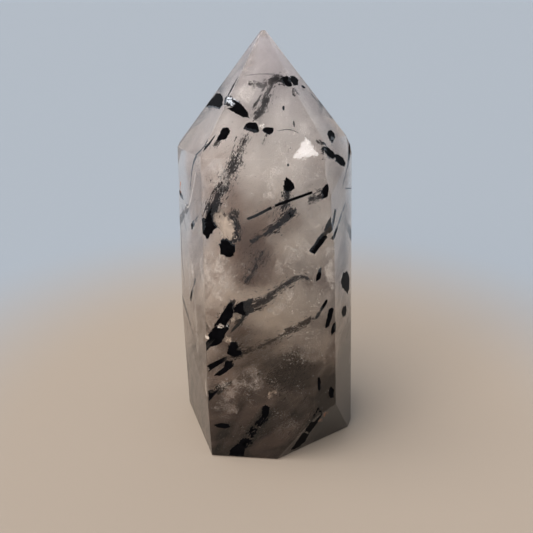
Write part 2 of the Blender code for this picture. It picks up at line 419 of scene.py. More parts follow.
def quartz_material():
    material, tree, glass = node_material("milky_quartz")
    place = object_place(tree)
    height = height_of(tree, place)
    # The share of the stone's height, disturbed by a soft noise
    soft = calculated(tree, "MULTIPLY_ADD", noise_texture(tree, place, 70.0, 3.0, 0.55), 0.12, -0.06)
    share = calculated(tree, "ADD", calculated(tree, "DIVIDE", height, STONE_HEIGHT * MM), soft)
    set_inputs(tree, tree.nodes["Material Output"], {
        "Surface": quartz_surface(tree, glass, place, share),
        "Volume": quartz_inside(tree, place, height, share),
    })
    return material


def tourmaline_material(name, colour, roughness, reflection):
    material, tree, black = node_material(name)
    grain = noise_texture(tree, object_place(tree), 1400.0, 3.0)
    dark, light = [0.6 * value for value in colour], [1.5 * value for value in colour]
    set_inputs(tree, black, {
        "Base Color": colour_ramp(tree, grain, ((0.35, dark), (0.75, light))),
        "Roughness": mapped(tree, grain, 0.0, 1.0, roughness - 0.08, roughness + 0.12),
        "IOR": reflection,
        "Specular IOR Level": 0.01,
    })
    return material


def speck_material(name, colour, roughness):
    material, tree, base = node_material(name)
    grain = noise_texture(tree, object_place(tree), 700.0, 2.0)
    dark = [0.75 * value for value in colour]
    set_inputs(tree, base, {
        "Base Color": colour_ramp(tree, grain, ((0.3, dark), (0.7, colour))), "Roughness": roughness,
    })
    return material


MATERIALS = {
    "quartz": quartz_material(),
    "black": tourmaline_material("black_tourmaline", (0.0032, 0.0030, 0.0036), 0.3, 1.35),
    "fibre": tourmaline_material("broken_tourmaline", (0.0200, 0.0118, 0.0082), 0.5, 1.2),
    "blue_black": tourmaline_material("blue_black_tourmaline", (0.0045, 0.0062, 0.0110), 0.3, 1.35),
    "rust": speck_material("rust_stain", (0.62, 0.20, 0.035), 0.6),
    # White flakes for the veils, also used as painted highlights in the glint_ sheets
    "veil": speck_material("white_veil_and_glint", (0.86, 0.83, 0.80), 0.4),
    "beige": speck_material("beige_veil", (0.50, 0.43, 0.37), 0.5),
    # Bluish white flakes of broken quartz that stand for its glints: partly painted reflection
    "glassy": speck_material("glassy_break_and_glint", (0.80, 0.88, 0.98), 0.25),
    "smoke": speck_material("smoky_dust", (0.065, 0.048, 0.042), 0.6),
}


# Crystals: their sides, how many chips and flakes each count in the tables stands for, the steps
# of their paths, the distance of their rings, how far an end first passes the surface before it
# is cut back to it, and how deep under the surface a splinter stays
COLUMNS = 44
CHIPS_PER_FIBRE = 4
FLAKES_PER_VEIL = 4
STEPS_PER_SPAN = 24
RING_SPACING = 0.3
OVERSHOOT = 1.2
CLEARANCE = 0.05


class Line:
    """A smooth line through points, with places along it from 0 to 1 by length."""

    def __init__(self, points):
        points = [Vector(point) for point in points]
        if len(points) == 2:
            points.insert(1, (points[0] + points[1]) / 2)
        ends = [2 * points[0] - points[1]] + points + [2 * points[-1] - points[-2]]
        self.places = []
        for i in range(1, len(ends) - 2):
            a, b, c, d = ends[i - 1:i + 3]
            for step in range(STEPS_PER_SPAN):
                t = step / STEPS_PER_SPAN
                self.places.append(0.5 * (
                    2 * b + (c - a) * t + (2 * a - 5 * b + 4 * c - d) * t * t
                    + (3 * b - a - 3 * c + d) * t * t * t
                ))
        self.places.append(points[-1])
        self.lengths = [0.0]
        for a, b in zip(self.places, self.places[1:]):
            self.lengths.append(self.lengths[-1] + (b - a).length)
        self.length = self.lengths[-1]

    def at(self, share):
        if share <= 0.0:
            return self.places[0] + self.tangent(0.0) * share * self.length
        if share >= 1.0:
            return self.places[-1] + self.tangent(1.0) * (share - 1.0) * self.length
        goal = share * self.length
        low = min(bisect_right(self.lengths, goal), len(self.lengths) - 1) - 1
        span = self.lengths[low + 1] - self.lengths[low]
        return self.places[low].lerp(self.places[low + 1], (goal - self.lengths[low]) / span)

    def tangent(self, share):
        goal = min(max(share, 0.0), 1.0) * self.length
        low = min(max(bisect_left(self.lengths, goal) - 1, 0), len(self.lengths) - 2)
        return (self.places[low + 1] - self.places[low]).normalized()


def perpendicular_basis(direction):
    reference = UP if abs(direction.z) < 0.9 else Vector((1.0, 0.0, 0.0))
    across = direction.cross(reference).normalized()
    return across, direction.cross(across).normalized()


def facet_basis(outward):
    right = UP.cross(outward).normalized()
    return right, outward.cross(right).normalized()


def turned(across, over, angle):
    """The direction at an angle from across towards over."""
    return across * math.cos(angle) + over * math.sin(angle)


def facet_under(point):
    """The plane of the side facet nearest to a point."""
    return min(CONVEX[:-2] + BEVELS, key=lambda plane: abs(height_above(point, plane)))


def even_outline(corners, count):
    """Places spread evenly along a closed outline."""
    steps = [math.dist(a, b) for a, b in zip(corners, corners[1:] + corners[:1])]
    places = []
    for k in range(count):
        goal = sum(steps) * k / count
        i = 0
        while goal > steps[i]:
            goal -= steps[i]
            i += 1
        share = goal / steps[i]
        a, b = corners[i], corners[(i + 1) % len(corners)]
        places.append((a[0] + (b[0] - a[0]) * share, a[1] + (b[1] - a[1]) * share))
    return places


def ring_middle(ring):
    """The middle of a ring, lifted to the surface where the whole ring lies on it."""
    middle = sum(ring, Vector()) / len(ring)
    if min(outside_by(point) for point in ring) > -0.05 and outside_by(middle) > -0.55:
        facet = facet_under(middle)
        middle += facet[0] * (FLUSH - height_above(middle, facet))
    return middle


def loft(shape, rings):
    """A closed body through rings of equally many points, on the bmesh shape."""
    layers = [[shape.verts.new(point) for point in ring] for ring in rings]
    count = len(rings[0])
    for low, high in zip(layers, layers[1:]):
        for j in range(count):
            k = (j + 1) % count
            shape.faces.new((low[j], low[k], high[k], high[j]))
    for layer, ring in ((layers[0], rings[0]), (layers[-1], rings[-1])):
        centre = shape.verts.new(ring_middle(ring))
        for j in range(count):
            shape.faces.new((layer[j], layer[(j + 1) % count], centre))


def add_chip(shape, centre, direction, length, width, rng):
    """A sharp chip: four corners, two at each end and crosswise to each other."""
    across, over = perpendicular_basis(direction)
    turn = rng.random() * math.pi
    wide = turned(across, over, turn) * width / 2
    flat = turned(over, -across, turn) * width / 2 * rng.uniform(0.4, 1.0)
    back, front = centre - direction * length / 2, centre + direction * length / 2
    corners = [shape.verts.new(place) for place in (back + wide, back - wide, front + flat, front - flat)]
    for a, b, c in ((0, 1, 2), (0, 3, 1), (0, 2, 3), (1, 3, 2)):
        shape.faces.new((corners[a], corners[b], corners[c]))


def add_splinters(shape, line, fray, rng):
    """Broken fibres along a line: start, end, count, spread at both ends, length, width."""
    start, end, count, near_spread, far_spread, length, width = fray
    elsewhere = Vector((rng.random(), rng.random(), rng.random())) * 100
    goal = count * CHIPS_PER_FIBRE
    made = tries = 0
    while made < goal and tries < goal * 6:
        tries += 1
        share = rng.random()
        place = start + (end - start) * share
        along = line.tangent(place)
        across, over = perpendicular_basis(along)
        spread = near_spread + (far_spread - near_spread) * share
        angle = rng.random() * math.tau
        away = abs(rng.gauss(0.0, 0.45))
        offset = turned(across, over, angle) * away * spread
        centre = line.at(place) + offset
        # The clumps are longer along the streak than across it
        spot = Vector((place * line.length * 0.6, offset.dot(across) * 1.7, offset.dot(over) * 1.7))
        clump = noise.fractal(spot + elsewhere, 0.7, 2.0, 3)
        if clump < rng.gauss(0.11, 0.17) + 0.22 * away:
            continue
        half = length * rng.choice((0.12, 0.2, 0.35, 0.6)) * rng.uniform(0.7, 1.3) / 2
        tilt = along + (across * rng.gauss(0, 1) + over * rng.gauss(0, 1)) * 0.16
        tilt.normalize()
        thickness = width * rng.choice((0.2, 0.35, 0.5, 0.8))
        reach = max(outside_by(centre + tilt * half), outside_by(centre - tilt * half))
        if reach > -CLEARANCE - thickness / 2:
            continue
        add_chip(shape, centre, tilt, 2 * half, thickness, rng)
        made += 1


# A crystal: its path from the facet inwards, its width at both ends, its unbroken stretches, how
# ragged their ends are, its broken fibres, and its ground end's outline right and up on the facet
Needle = namedtuple(
    "Needle", "path widths segments ragged fray cap through material",
    defaults=((), 0.3, (), None, False, "black"),
)


def ragged_ends(needle, line, start, end, rng):
    """Where each side of a stretch starts and ends along the line."""
    starts, ends = [], []
    for j in range(COLUMNS):
        wave = 0.5 + 0.5 * noise.noise(Vector((j * 0.9, start * 31.0, line.length)))
        jag = 0.6 * rng.random() + 0.4 * wave
        starts.append(start if start <= 0.0 else start + needle.ragged * jag * (end - start))
        jag = 0.6 * rng.random() + 0.4 * (1.0 - wave)
        flush = needle.through and end >= 1.0
        ends.append(end if flush else end - needle.ragged * jag * (end - start))
    return starts, ends


def needle_rings(needle, line, start, end, rng):
    """The rings of one unbroken stretch of a crystal."""
    count = max(8, int((end - start) * line.length / RING_SPACING))
    flush_start = start <= 0.0
    flush_end = needle.through and end >= 1.0
    starts, ends = ragged_ends(needle, line, start, end, rng)
    # A rounded triangle across, with a fine ridge on every other side
    profile = []
    for j in range(COLUMNS):
        triangle = 1.0 + 0.10 * math.cos(3 * (math.tau * j / COLUMNS))
        ridge = 0.045 if j % 2 else -0.045
        profile.append(triangle + ridge * rng.uniform(0.3, 1.0))
    twist = rng.random() * math.tau
    if needle.cap:
        facet = facet_under(Vector(needle.path[0]))
        right, up = facet_basis(facet[0])
        corners = []
        for x, y in even_outline(needle.cap, COLUMNS):
            jag = rng.uniform(0.93, 1.07)
            corners.append((x * jag, y * jag))
    columns = []
    for j in range(COLUMNS):
        low = starts[j] - (OVERSHOOT / line.length if flush_start and not needle.cap else 0.0)
        high = ends[j] + (OVERSHOOT / line.length if flush_end else 0.0)
        points = []
        for k in range(count + 1):
            share = low + (high - low) * k / count
            inner = min(max(share, 0.0), 1.0)
            width = needle.widths[0] + (needle.widths[1] - needle.widths[0]) * inner
            along = share * line.length
            rough = 1.0 + 0.34 * noise.noise(Vector((along * 0.8, j * 0.45, start * 9.0)))
            rough += 0.34 * noise.noise(Vector((along * 2.6, j * 1.1, 40.0 + start * 9.0)))
            if needle.cap:
                scale = width / needle.widths[0] * (rough if k else 1.0)
                if flush_start:
                    scale *= 1.0 - 0.3 * min(1.0, along / 0.8)
                point = line.at(share) + (right * corners[j][0] + up * corners[j][1]) * scale
                if k == 0 and flush_start:
                    point += facet[0] * (FLUSH - height_above(point, facet))
            else:
                across, over = perpendicular_basis(line.tangent(share))
                radius = width / 2 * profile[j] * rough
                point = line.at(share) + turned(across, over, math.tau * j / COLUMNS + twist) * radius
            points.append(point)
        if not needle.cap:
            points = clipped_column(points, flush_start, flush_end)
        columns.append([pressed_in(point, FLUSH) for point in points])
    return list(zip(*columns))


def clipped_column(points, at_start, at_end):
    """The points spread again over the part of their line that is inside the stone."""
    over = [outside_by(point) - FLUSH for point in points]
    last = len(points) - 1
    low, high = 0.0, float(last)
    if at_start:
        for i in range(last):
            if over[i] > 0.0 >= over[i + 1]:
                low = i + over[i] / (over[i] - over[i + 1])
                break
    if at_end:
        for i in range(last, 0, -1):
            if over[i] > 0.0 >= over[i - 1]:
                high = i - over[i] / (over[i] - over[i - 1])
                break
    spread = []
    for k in range(last + 1):
        place = low + (high - low) * k / last
        i = min(int(place), last - 1)
        spread.append(points[i].lerp(points[i + 1], place - i))
    return spread


def finish_piece(item, slot, *looks):
    for look in looks:
        item.data.materials.append(MATERIALS[look])
    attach(item, "root")
    return item


def build_needle(name, needles, seed):
    """One piece from one or more crystals that lie in line, with their broken fibres."""
    rng = random.Random(seed)
    shape = bmesh.new()
    needles = needles if isinstance(needles, list) else [needles]
    for needle in needles:
        line = Line(needle.path)
        for start, end in needle.segments:
            loft(shape, needle_rings(needle, line, start, end, rng))
    solid_faces = len(shape.faces)
    for needle in needles:
        for fray in needle.fray:
            add_splinters(shape, Line(needle.path), fray, rng)
    shape.faces.ensure_lookup_table()
    for face in shape.faces[solid_faces:]:
        face.material_index = 1
    look = needles[0].material
    fibres = "fibre" if look in ("black", "blue_black") else look
    return finish_piece(new_object(name, shape), "quartz" if look == "beige" else "tourmaline", look, fibres)


Veil = namedtuple("Veil", "centre facing lean turn width height bend count size material", defaults=("veil",))


def build_veil(name, veil, seed):
    """A wispy inner sheet of tiny flakes, in clumps that thin out towards its rim."""
    rng = random.Random(seed)
    outward = facing_direction(veil.facing, veil.lean)
    right, up = facet_basis(outward)
    turn = math.radians(veil.turn)
    across, along = turned(right, up, turn), turned(up, -right, turn)
    shape = bmesh.new()
    made = tries = 0
    goal = veil.count * FLAKES_PER_VEIL
    while made < goal and tries < goal * 12:
        tries += 1
        a, b = rng.uniform(-1, 1), rng.uniform(-1, 1)
        rim = a * a + b * b
        if rim > 1.0:
            continue
        spot = Vector((a * veil.width * 0.42 + seed, b * veil.height * 0.24, seed * 0.7))
        clump = noise.fractal(spot, 0.6, 2.1, 5)
        if clump < rng.gauss(0.05, 0.28) + 0.6 * (rim - 0.4):
            continue
        wave = 0.5 * noise.noise(Vector((a * 2.0, b * 2.0, seed)))
        depth = veil.bend * (a * a - 0.3) + wave + rng.gauss(0, 0.3)
        centre = Vector(veil.centre) + across * a * veil.width / 2 + along * b * veil.height / 2 - outward * depth
        if outside_by(centre) > -0.25:
            continue
        lie = (across * rng.gauss(0, 1) + along * rng.gauss(0, 1) + outward * rng.gauss(0, 0.4)).normalized()
        size = veil.size * rng.choice((0.22, 0.3, 0.4, 0.6))
        add_chip(shape, centre, lie, size * rng.uniform(0.7, 1.3), size * rng.uniform(0.6, 1.0), rng)
        made += 1
    return finish_piece(new_object(name, shape), "quartz", veil.material)


def cloud_strength(point):
    """How much paler (or, below zero, smokier) the broad clouds make a place."""
    total = 0.0
    for centre, radii, strength in CLOUDS:
        reach = math.sqrt(sum(((point[i] - centre[i]) / radii[i]) ** 2 for i in range(3)))
        total += strength * max(0.0, 1.0 - reach)
    return total


def build_specks(name, look, slot, count, pale, seed):
    """Specks all through the outer part of the stone, in wisps, as mist or as smoky dust."""
    rng = random.Random(seed)
    shape = bmesh.new()
    made = 0
    while made < count:
        point = Vector((rng.uniform(-15.5, 15.5), rng.uniform(-11.8, 11.8), rng.uniform(0.6, 68.0)))
        depth = -outside_by(point)
        if not (0.35 if pale else 0.8) < depth < rng.uniform(1.0, 6.5):
            continue
        wisp = noise.fractal(point * 0.42 + Vector((seed, seed, seed)), 0.55, 2.1, 5)
        clouds = cloud_strength(point)
        # Smoky dust thickens towards the base and in the smoky clouds: partly the stone's own smoke, partly
        # painted shade
        lower = 1.0 - point.z / 35.0
        ease = 0.45 * clouds - 0.12 * abs(lower) if pale else 0.32 * lower - 0.55 * clouds
        if wisp + ease < rng.gauss(0.26, 0.08):
            continue
        lie = Vector((rng.gauss(0, 1), rng.gauss(0, 1), rng.gauss(0, 1))).normalized()
        size = rng.choice((0.05, 0.07, 0.1, 0.14))
        add_chip(shape, point, lie, size * rng.uniform(0.7, 1.4), size * rng.uniform(0.6, 1.0), rng)
        made += 1
    return finish_piece(new_object(name, shape), slot, look)


def build_thread(name, points, width, look, slot):
    """A fine thread with pointed ends, as a crack's edge or a hair of crystal looks."""
    line = Line(points)
    shape = bmesh.new()
    count = max(8, int(line.length / 0.25))
    rings = []
    for k in range(count + 1):
        share = k / count
        across, over = perpendicular_basis(line.tangent(share))
        radius = width / 2 * (0.15 + 0.85 * math.sin(math.pi * share) ** 0.5)
        radius *= 1.0 + 0.35 * noise.noise(Vector((share * line.length * 2.0, width, line.length)))
        centre = pressed_in(line.at(share), -0.1)
        angles = (0.0, math.tau / 3, 2 * math.tau / 3)
        rings.append([centre + turned(across, over, angle) * radius for angle in angles])
    loft(shape, rings)
    return finish_piece(new_object(name, shape), slot, look)


NEEDLES = {
    # The front of the crown
    "shoulder_left": [Needle(
        ((-4.4, -6.0, 59.7), (-5.0, -4.8, 59.4), (-5.8, -3.4, 59.1)), (1.9, 1.5), ((0, 0.3),), 0.4,
        ((0.1, 0.8, 40, 0.9, 0.8, 1.3, 0.3),),
        ((-1.55, 0.04), (-0.39, -0.71), (0.75, -1.21), (1.53, -1.32), (1.39, -0.56), (0.67, 0.36),
         (-0.16, 1.06), (-0.94, 1.45), (-0.46, 0.68), (-0.87, 0.22)),
    ), Needle(
        ((-8.3, -0.1, 59.8), (-7.9, -0.7, 59.3), (-7.3, -1.6, 58.9)), (1.9, 1.6), ((0, 0.6),), 0.3,
        ((0.1, 1, 40, 1, 1.2, 1.2, 0.26),),
        ((-3.3, -1.4), (-2.98, -0.25), (-2.07, 1.1), (0.28, 1.5), (2.9, 1.05), (4.6, 0.1), (3.6, -0.35),
         (1.71, -0.5), (-1.67, -0.9)),
    ), Needle(
        ((-5.6, -5.4, 60.5), (-5.4, -4.4, 60.2), (-5.2, -3.2, 59.8)), (1.9, 1.7), ((0.38, 0.9),), 0.2, (),
        ((-1.21, 1.02), (-0.33, 0.95), (0.74, 0.2), (1.35, -0.33), (0.8, -0.8), (-0.23, -0.66), (-1.13, -0.37)),
    )],
    "brow_left": [Needle(
        ((-2.4, -7.6, 57.5), (-3.4, -7.5, 55.7), (-4.4, -7.7, 53.5), (-5.5, -8.0, 51.3), (-6.8, -8.5, 48.9),
         (-7.9, -9.1, 46.8), (-9.1, -9.9, 43.4)),
        (1.5, 1.9), ((0, 0.05),), 0.6,
        ((0.12, 0.36, 26, 1, 1.3, 1.3, 0.26), (0.3, 0.62, 90, 1.5, 1.9, 1.5, 0.32),
         (0.6, 0.94, 110, 1.7, 1.3, 1.8, 0.36), (0.1, 1, 260, 1.9, 1.9, 0.7, 0.12)),
        ((-1.12, 0.03), (-0.66, 0.61), (0.45, 0.57), (0.81, 0.06), (0.96, -0.63), (0.17, -0.46), (-0.62, -0.19)),
    ), Needle(
        ((-9.1, -9.9, 43.4), (-8.8, -9.3, 44.6), (-8.2, -8.7, 46.2)), (2.3, 1.5), ((0, 0.25),), 0.5,
        ((0.1, 0.9, 90, 1, 1.2, 1.6, 0.42), (0, 1, 70, 1.6, 1.5, 0.8, 0.14)),
        ((0.66, 2.8), (0.26, 2.08), (-0.16, 1.27), (-0.65, 0.38), (-1.19, 0.44), (-0.98, -0.05), (-1.05, -0.86),
         (-0.88, -1.59), (-0.5, -1.82), (-0.53, -2.4), (-0.13, -2.3), (0.28, -1.63), (0.86, -0.88),
         (1.25, -0.55), (0.8, -0.15), (0.65, 0.16), (0.61, 1.14), (0.24, 1.52), (0.42, 2.24)),
    )],
    "brow_middle": Needle(
        ((-0.1, -8.1, 57.0), (-0.4, -6.0, 55.4), (-0.9, -4.4, 53.4)), (1.2, 0.6), ((0, 0.2),), 0.4,
        ((0.2, 1, 40, 0.4, 0.7, 0.8, 0.12),),
        ((-0.88, 0.09), (-0.47, 0.51), (0.7, 0.41), (0.72, -0.06), (0.24, -0.58), (-0.31, -0.36)),
    ),
    "temple_left": Needle(
        ((-6.5, -7.9, 56.5), (-7.1, -6.9, 55.4), (-8.0, -6.0, 53.9)), (1.1, 0.7), ((0, 0.25),), 0.4,
        ((0.2, 1, 50, 0.4, 0.4, 1.2, 0.18),),
        ((-1.06, -1.02), (-0.52, 0.22), (-0.23, 0.92), (0.55, 0.93), (0.86, 0.47), (0.42, -0.69), (-0.01, -0.82)),
    ),
    "temple_right": [Needle(
        ((3.7, -2.7, 63.2), (3.2, -2.5, 62.9), (2.6, -2.2, 62.6)), (1.7, 1.2), ((0, 0.5),), 0.3, (),
        ((-0.16, 0.85), (1.1, 0.6), (1.53, -0.07), (0.17, -0.76), (-1.3, -0.65), (-1.4, 0.4)),
    ), Needle(
        ((2.6, -4.2, 63.3), (2.2, -3.5, 63.1), (1.4, -2.6, 62.8)), (1.7, 1.2), ((0, 0.5),), 0.3,
        ((0.1, 1, 30, 0.8, 0.6, 1.2, 0.3),),
        ((-0.85, 0.53), (-0.19, 0.83), (0.7, 0.78), (0.76, -0.75), (0.33, -0.81), (-0.25, -0.53), (-0.49, -0.05)),
    ), Needle(
        ((2.2, -3.8, 63.6), (1.7, -3.4, 63.5), (0.9, -3.0, 63.2), (-0.3, -2.7, 62.6), (-1.0, -2.4, 62.1)),
        (1.0, 0.6),
        fray=((0, 0.6, 70, 0.7, 0.6, 1.4, 0.34), (0.5, 1, 30, 0.6, 0.5, 1.2, 0.26), (0, 1, 50, 1.1, 1, 0.8, 0.14)),
    )],
    "cheek_right": Needle(
        ((9.2, -4.8, 55.6), (8.8, -4.7, 54.8), (8.3, -4.3, 53.8)), (1.0, 0.6), ((0, 0.3),), 0.3,
        ((0.1, 1, 20, 0.5, 0.4, 0.9, 0.16),),
        ((-0.11, 0.79), (1.24, 0.67), (1.62, 0.04), (0.75, -0.66), (-0.7, -0.85), (-1.48, -0.31), (-1.24, 0.33)),
    ),
    "shoulder_right": [Needle(
        ((10.9, -4.7, 51.8), (10.5, -4.7, 51.7), (9.8, -4.6, 51.6)), (1.2, 1.0), ((0, 0.6),), 0.3, (),
        ((-1.84, 1.25), (-0.21, 0.97), (1.3, 0.09), (1.84, -0.83), (1.08, -1.21), (-0.42, -0.62), (-1.63, 0.28)),
    ), Needle(
        ((8.8, -7.8, 53.8), (8.5, -7.6, 53.6), (8.0, -7.3, 53.3)), (1.0, 0.9), ((0, 0.9),), 0.3,
        ((0.1, 1, 30, 1.4, 1.2, 1.2, 0.2),),
        ((-1.78, 1.25), (-0.03, 0.74), (1.5, -0.18), (2.2, -1.1), (0.8, -1.17), (-0.76, -0.29), (-1.77, 0.67)),
    ), Needle(
        ((8.4, -7.7, 54.1), (7.6, -8.0, 54.9), (7.0, -8.0, 55.6)), (0.6, 0.4),
        fray=((0, 1, 50, 0.5, 0.4, 1.2, 0.2),),
    )],
    "edge_right": Needle(
        ((12.8, 0.0, 52.7), (11.9, -1.3, 50.2), (10.4, -3.2, 47.8)), (0.7, 0.4), ((0, 0.62),), 0.4,
        ((0.1, 1, 70, 0.5, 0.4, 1.8, 0.13),),
    ),
    # The front facet and the narrow ones beside it, from the top down
    "teardrop": [Needle(
        ((2.8, -10.8, 49.7), (2.7, -8.3, 47.9), (2.6, -5.6, 45.5)), (1.5, 1.1), ((0, 0.2),), 0.5,
        ((0.1, 1, 60, 0.6, 0.8, 1.5, 0.3), (0.3, 1, 90, 0.9, 1.3, 0.8, 0.14)),
        ((-0.38, 1.21), (0.2, 0.79), (0.79, 0.21), (0.8, -0.38), (0.38, -0.84), (-0.35, -0.93), (-0.79, -0.42),
         (-0.65, 0.33)),
    ), Needle(
        ((2.6, -10.3, 48.9), (2.4, -9.8, 47.2), (1.8, -9.4, 45.2), (1.2, -9.2, 43.6)), (0.8, 0.6),
        fray=((0, 0.6, 40, 0.8, 1.1, 1.3, 0.3), (0, 1, 110, 1.2, 1.8, 0.7, 0.13)),
    )],
    "thin": Needle(
        ((5.1, -11.1, 48.3), (2.9, -10.9, 47.4), (0.6, -10.6, 46.4), (-1.6, -10.2, 45.1), (-3.3, -9.7, 44.2)),
        (0.36, 0.36), ((0, 0.5), (0.54, 1)), 0.06, ((0.3, 0.62, 22, 0.4, 0.4, 0.7, 0.1),),
    ),
    "chest_streak": Needle(
        ((3.8, -10.8, 45.9), (1.8, -10.3, 43.9), (-0.4, -9.8, 42.1), (-2.7, -9.2, 40.4)), (0.8, 0.5),
        ((0.05, 0.16), (0.34, 0.42)), 0.6,
        ((0, 0.3, 50, 1, 0.9, 1.6, 0.4), (0, 0.6, 90, 1, 1, 1.8, 0.36),
         (0.55, 1, 40, 0.8, 0.5, 1.7, 0.32), (0, 1, 160, 1.7, 1.2, 0.7, 0.12)),
    ),
    "neck_right": Needle(
        ((8.1, -11.3, 48.9), (7.4, -10.4, 48.3), (5.9, -9.2, 47.2)), (0.9, 0.7), ((0, 0.2),), 0.5,
        ((0.1, 1, 44, 0.8, 1.1, 1.2, 0.3), (0.1, 1, 120, 1.1, 1.6, 0.7, 0.13)),
        ((-0.5, -0.2), (-0.28, 0.6), (0.05, 1.05), (0.45, 1.1), (0.45, 0.14), (0.3, -0.75), (-0.09, -1.0),
         (-0.4, -1.05), (-0.1, -0.4)),
    ),
    "block_left": [Needle(
        ((-6.3, -10.2, 39.5), (-5.8, -9.2, 40.3), (-5.4, -8.0, 41.3)), (2.2, 1.5), ((0, 0.25),), 0.5,
        ((0.1, 0.8, 30, 0.9, 0.8, 1.4, 0.36),),
        ((-0.9, 1.46), (0.05, 1.33), (0.49, 0.76), (1.11, 0.38), (1.1, -0.12), (0.93, -0.96), (0.6, -1.31),
         (-0.02, -1.3), (-1.12, -0.88), (-1.17, -0.21), (-1.07, 0.79)),
    ), Needle(
        ((-5.1, -9.7, 40.9), (-4.9, -9.3, 41.8), (-5.0, -8.9, 42.8), (-5.3, -8.3, 43.8), (-5.2, -7.6, 45.0)),
        (1.0, 0.8),
        fray=((0, 0.55, 110, 0.7, 0.8, 1.9, 0.34), (0.4, 1, 70, 0.8, 0.8, 1.5, 0.3),
              (0, 1, 120, 1.5, 1.6, 0.8, 0.14)),
    )],
    "rust": Needle(
        ((7.1, -11.2, 40.3), (8.4, -10.8, 42.4), (9.6, -9.8, 44.5)), (1.0, 0.9), ((0, 0.45), (0.5, 1)), 0.2,
        ((0.1, 1, 120, 0.6, 0.6, 1.6, 0.18),), through=True,
    ),
    "rust_twin": Needle(
        ((9.8, -10.4, 41.5), (10.2, -7.6, 42.4), (10.7, -4.8, 43.4), (11.4, -2.3, 44.3)), (0.8, 0.5),
        ((0, 0.35), (0.42, 0.7)), 0.3, ((0.2, 1, 120, 0.5, 0.5, 1.8, 0.15),),
    ),
    "hip_right": Needle(
        ((12.8, -3.9, 30.9), (12.2, -3.7, 31.0), (11.2, -3.3, 31.3)), (1.7, 1.1), ((0, 0.5),), 0.3,
        ((0.5, 1, 40, 0.5, 0.5, 1, 0.16),),
        ((-2.9, 1.5), (-1.3, 2.3), (1.0, 1.6), (2.7, -0.06), (2.8, -2.3), (1.6, -2.8), (-0.7, -1.1), (-2.4, 0.4)),
    ),
    "chip_right": Needle(
        ((7.6, -11.1, 35.3), (7.6, -9.2, 35.7), (7.7, -7.6, 36.3)), (0.8, 0.6), ((0, 0.7),), 0.3, (),
        ((-0.4, -0.84), (-0.42, 0.17), (0.07, 0.76), (0.5, 0.36), (0.26, -0.44)),
    ),
    "great_left": [Needle(
        ((-8.8, -10.2, 23.8), (-8.3, -9.7, 24.9), (-7.7, -9.3, 26.2)), (2.3, 1.8), ((0, 0.5),), 0.5,
        ((0.1, 1, 50, 1.1, 1.1, 2, 0.4),),
        ((-1.09, 0.66), (0.1, 2.15), (1.58, 1.9), (2.37, 2.59), (2.05, 1.48), (1.12, -0.59), (0.09, -1.33),
         (-0.81, -1.61), (-1.35, -2.32), (-1.68, -1.88), (-1.51, -1.17), (-0.97, -0.02)),
    ), Needle(
        ((-6.8, -10.3, 28.1), (-6.3, -9.6, 28.9), (-5.6, -8.9, 30.0)), (2.2, 1.6), ((0, 0.5),), 0.5,
        ((0.1, 1, 90, 0.9, 0.8, 1.8, 0.36), (0, 1, 60, 1.4, 1.4, 0.9, 0.15)),
        ((0.77, 2.3), (0.0, 1.54), (-1.0, -0.2), (-2.0, -1.9), (-0.96, -1.5), (-0.2, -1.9), (0.3, -1.0),
         (0.87, -0.3), (1.2, 0.7), (0.9, 1.2), (1.1, 1.96)),
    ), Needle(
        ((-8.6, -9.9, 24.8), (-7.6, -9.8, 26.4), (-6.8, -9.7, 28.0)), (1.6, 1.6),
        fray=((0, 1, 60, 1.3, 1.2, 2, 0.3), (0, 1, 60, 1.6, 1.6, 1, 0.15)),
    )],
    "long_upper": Needle(
        ((-4.5, -10.5, 29.2), (-3.0, -10.1, 29.6), (-1.4, -9.9, 30.2), (0.6, -9.6, 31.7), (2.6, -9.4, 33.4),
         (4.7, -9.2, 34.7), (6.4, -9.1, 34.3)),
        (1.6, 0.8), ((0, 0.05), (0.06, 0.15)), 0.6,
        ((0.04, 0.3, 90, 1.3, 1, 1.7, 0.36), (0.3, 0.75, 90, 1, 0.9, 1.8, 0.32),
         (0.7, 1, 34, 0.7, 0.5, 1.4, 0.26), (0, 1, 280, 1.7, 1.3, 0.7, 0.12)),
        ((-1.13, 0.32), (0.15, 1.56), (0.48, 1.26), (0.42, 0.08), (0.7, -0.44), (0.98, -0.98), (0.02, -0.8),
         (-0.57, -0.5), (-1.05, -0.53)),
    ),
    "short_mid": Needle(
        ((-5.1, -10.5, 26.7), (-4.6, -10.0, 27.3), (-3.9, -9.4, 28.0)), (1.2, 0.9), ((0.06, 0.5),), 0.4,
        ((0.1, 1, 70, 1.1, 0.9, 1.6, 0.24),),
        ((1.09, 1.28), (0.75, 0.2), (0.1, -0.7), (-1.4, -2.16), (-0.95, -1.2), (0.0, -0.1), (0.45, 0.6)),
    ),
    "blob_mid": Needle(
        ((-5.6, -10.6, 21.8), (-5.0, -9.4, 21.8), (-4.4, -8.0, 21.8)), (1.6, 1.1), ((0, 0.3),), 0.4,
        ((0.1, 1, 40, 0.7, 0.7, 1.2, 0.24),),
        ((-0.53, 1.63), (0.25, 1.44), (0.58, 0.54), (0.19, -0.12), (1.01, 0.02), (1.17, -0.63), (0.08, -1.36),
         (-0.49, -1.1), (-1.2, -0.8), (-1.07, 0.34)),
    ),
    "long_lower": Needle(
        ((-8.4, -10.4, 19.3), (-6.9, -10.2, 20.0), (-5.1, -10.0, 20.7), (-2.2, -9.8, 21.9), (0.3, -9.6, 23.2),
         (2.9, -9.5, 24.9), (5.2, -9.4, 26.3), (6.7, -9.4, 27.3)),
        (0.95, 0.75), ((0, 0.06),), 0.3,
        ((0.16, 0.35, 60, 0.8, 0.6, 1.6, 0.32), (0.35, 0.66, 44, 0.6, 0.6, 1.5, 0.26),
         (0.64, 1, 80, 0.8, 0.9, 1.8, 0.36), (0.1, 1, 260, 1.3, 1.2, 0.7, 0.12)),
